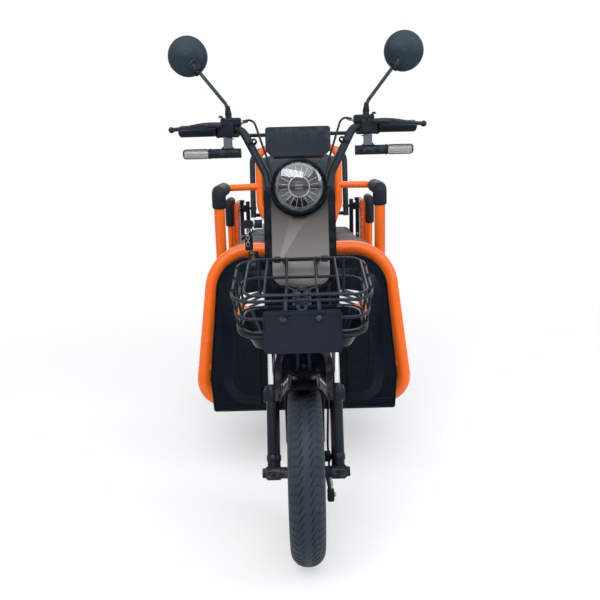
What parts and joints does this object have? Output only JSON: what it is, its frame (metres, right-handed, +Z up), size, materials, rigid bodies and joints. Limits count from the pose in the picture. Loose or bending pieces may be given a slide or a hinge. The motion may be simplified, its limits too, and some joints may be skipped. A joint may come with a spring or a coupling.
{
  "type": "electric_scooter_three_wheeled",
  "caption": "Three-wheeled electric scooter with two benches, orange tube armrests and guard hoop, black leg shield, wire basket and round headlight",
  "frame": {"origin": "on the floor, under the middle of the vehicle (centre of its bounding box)", "axes": "-Y is forward, +X is the vehicle's left side, +Z is up"},
  "size_m": [0.705, 1.8283, 1.274],
  "materials": {
    "axle_steel": "zinc",
    "body_black": "matte",
    "cable_black": "satin",
    "cast_grey": "cast",
    "chrome": "polished",
    "clear_lens": "clear",
    "floor_mat": "ribbed",
    "foam_black": "foam",
    "frame_black": "satin",
    "gloss_black": "gloss",
    "grip_rubber": "ribbed",
    "mirror_glass": "polished",
    "orange_paint": "gloss",
    "orange_plastic": "gloss",
    "plate_grey": "satin",
    "red_lens": "gloss",
    "reflector": "polished",
    "tyre_rubber": "matte",
    "vinyl_grey": "satin",
    "wire_black": "satin"
  },
  "bodies": {
    "chassis": {"battery_box": "body_black", "floor_board": "floor_mat", "frame": "frame_black", "front_arm_frame": "orange_paint", "front_arm_pads": "foam_black", "front_backrest": "vinyl_grey", "guard_hoop": "orange_paint", "leg_shield": "gloss_black", "motor_block": "cast_grey", "rear_arm_frame": "orange_paint", "rear_arm_pads": "foam_black", "rear_axle": "axle_steel", "rear_body": "body_black", "rear_cushion": "vinyl_grey", "rear_fenders": "gloss_black", "rear_posts": "frame_black", "seat_hinge": "axle_steel", "side_guards": "orange_plastic", "tail_lamps": "red_lens"},
    "steering": {"fork_yokes": "frame_black", "stanchions": "chrome", "fork_legs": "frame_black", "front_axle": "axle_steel", "front_fender": "gloss_black", "front_brake": "body_black", "wheel_spacer": "axle_steel", "handlebar": "frame_black", "grips": "grip_rubber", "switch_housings": "body_black", "brake_levers": "body_black", "mirror_stems": "frame_black", "mirror_heads": "body_black", "mirror_glass": "mirror_glass", "turn_signals": "body_black", "signal_lenses": "clear_lens", "headlight_shell": "body_black", "headlight_core": "reflector", "headlight_lens": "clear_lens", "display": "body_black", "nacelle": "gloss_black", "key_set": "body_black", "basket": "wire_black", "basket_liner": "body_black", "number_plate": "plate_grey", "brake_cables": "cable_black"},
    "lid": {"basket_lid": "wire_black"},
    "driver_seat": {"front_cushion": "vinyl_grey", "front_seat_pan": "body_black"},
    "rear_back": {"rear_backrest_loop": "frame_black", "rear_backrest": "vinyl_grey"},
    "front_roller": {"front_tyre": "tyre_rubber", "front_wheel": "orange_paint"},
    "left_roller": {"rear_tyre_left": "tyre_rubber", "rear_wheel_left": "orange_paint"},
    "right_roller": {"rear_tyre_right": "tyre_rubber", "rear_wheel_right": "orange_paint"}
  },
  "joints": [
    {"name": "steer", "type": "hinge", "parent": "chassis", "child": "steering", "pos_m": [0, -0.50915, 0.60268], "axis": [0, 0.3746, 0.9272], "range_deg": [-38, 38]},
    {"name": "front_wheel_spin", "type": "hinge", "parent": "steering", "child": "front_roller", "pos_m": [0, -0.698, 0.216], "axis": [1, 0, 0], "continuous": true},
    {"name": "rear_wheel_left_spin", "type": "hinge", "parent": "chassis", "child": "left_roller", "pos_m": [0.255, 0.502, 0.216], "axis": [1, 0, 0], "continuous": true},
    {"name": "rear_wheel_right_spin", "type": "hinge", "parent": "chassis", "child": "right_roller", "pos_m": [-0.255, 0.502, 0.216], "axis": [1, 0, 0], "continuous": true},
    {"name": "basket_lid_open", "type": "hinge", "parent": "steering", "child": "lid", "pos_m": [0, -0.62244, 0.72614], "axis": [-1, 0, 0], "range_deg": [0, 100]},
    {"name": "driver_seat_lift", "type": "hinge", "parent": "chassis", "child": "driver_seat", "pos_m": [0, 0.142, 0.573], "axis": [1, 0, 0], "range_deg": [0, 75]},
    {"name": "rear_back_fold", "type": "hinge", "parent": "chassis", "child": "rear_back", "pos_m": [0, 0.842, 0.722], "axis": [1, 0, 0], "range_deg": [0, 78]}
  ]
}
